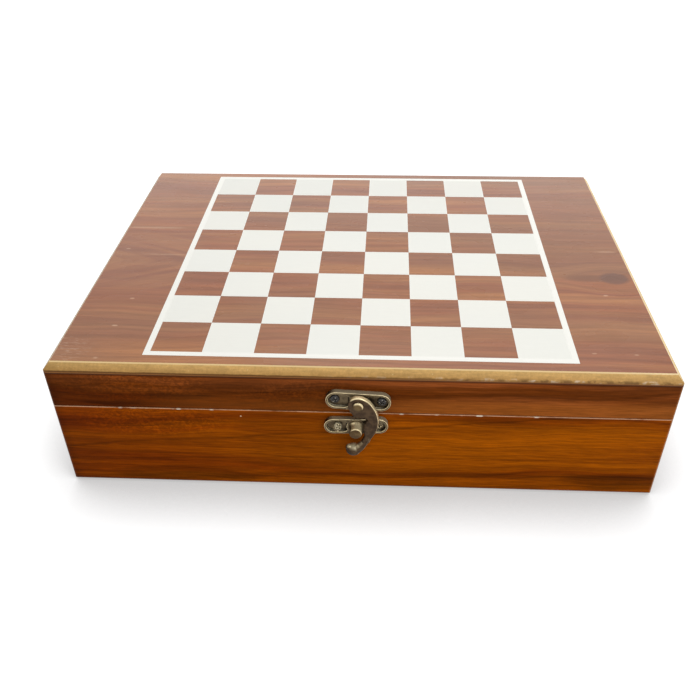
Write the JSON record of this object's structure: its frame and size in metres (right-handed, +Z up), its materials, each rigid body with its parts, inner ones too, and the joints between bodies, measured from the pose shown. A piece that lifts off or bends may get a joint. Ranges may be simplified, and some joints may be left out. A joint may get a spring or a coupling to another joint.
{
  "type": "games compendium box",
  "caption": "Hinged wooden games case with a chess board printed on its lid, a swing-hook clasp, and felt-lined wells that hold chess men, draughts, dominoes, cards and dice.",
  "frame": {"origin": "centre of the case's underside, where it rests", "axes": "+X along the width, to the right seen from the clasp; +Y from the clasp to the hinges; +Z up through the lid"},
  "size_m": [0.29, 0.2264, 0.0741],
  "materials": {
    "base_rail_wood": "satin lacquer over amber-brown stained softwood",
    "lid_rail_wood": "satin lacquer over dark red-brown stained softwood",
    "lid_veneer_wood": "satin lacquer over a rosewood-toned printed veneer",
    "raw_mdf": "lacquered bare fibreboard edge",
    "board_white": "white screen print under lacquer",
    "plain_wood": "thin unstained board",
    "green_felt": "short-pile felt",
    "hinge_brass": "brass-plated, satin",
    "antique_brass": "antique-bronze plated casting, dark in its recesses and rubbed bright on its edges",
    "light_wood": "lacquered boxwood colour",
    "dark_wood": "lacquered dark stained wood",
    "ivory_plastic": "moulded, polished",
    "white_plastic": "moulded, polished",
    "red_card": "smooth card",
    "blue_card": "smooth card"
  },
  "bodies": {
    "base": {"base_front_rail": "base_rail_wood", "base_back_rail": "base_rail_wood", "base_left_rail": "base_rail_wood", "base_right_rail": "base_rail_wood", "base_bottom_panel": "plain_wood", "well_felt": "green_felt", "left_divider": "plain_wood", "right_divider": "plain_wood", "chess_divider": "plain_wood", "front_card_divider": "plain_wood", "back_card_divider": "plain_wood", "draughts_divider": "plain_wood", "left_hinge_base_leaf": "hinge_brass", "right_hinge_base_leaf": "hinge_brass", "left_hinge_pin": "hinge_brass", "right_hinge_pin": "hinge_brass", "hinge_base_screws": "hinge_brass", "clasp_catch_plate": "antique_brass", "clasp_catch_stud": "antique_brass", "clasp_catch_screws": "antique_brass", "red_card_deck": "red_card", "blue_card_deck": "blue_card", "dice": "white_plastic", "dominoes": "ivory_plastic", "light_draughts": "light_wood", "dark_draughts": "dark_wood", "light_pawns": "light_wood", "light_rooks": "light_wood", "light_knights": "light_wood", "light_bishops": "light_wood", "light_queen": "light_wood", "light_king": "light_wood", "dark_pawns": "dark_wood", "dark_rooks": "dark_wood", "dark_knights": "dark_wood", "dark_bishops": "dark_wood", "dark_queen": "dark_wood", "dark_king": "dark_wood"},
    "lid": {"lid_front_rail": "lid_rail_wood", "lid_back_rail": "lid_rail_wood", "lid_left_rail": "lid_rail_wood", "lid_right_rail": "lid_rail_wood", "lid_panel": "raw_mdf", "lid_veneer": "lid_veneer_wood", "board_print": "board_white", "lid_felt": "green_felt", "left_hinge_lid_leaf": "hinge_brass", "right_hinge_lid_leaf": "hinge_brass", "hinge_lid_screws": "hinge_brass", "clasp_lid_plate": "antique_brass", "clasp_lid_screws": "antique_brass", "clasp_rivet": "antique_brass"},
    "hook": {"clasp_hook": "antique_brass"}
  },
  "joints": [
    {"name": "lid_hinge", "type": "hinge", "parent": "base", "child": "lid", "pos_m": [0, 0.1058, 0.0497], "axis": [-1, 0, 0], "range_deg": [0, 95]},
    {"name": "hook_swing", "type": "hinge", "parent": "lid", "child": "hook", "pos_m": [0.0003, -0.1136, 0.0584], "axis": [0, -1, 0], "range_deg": [0, 285]}
  ]
}
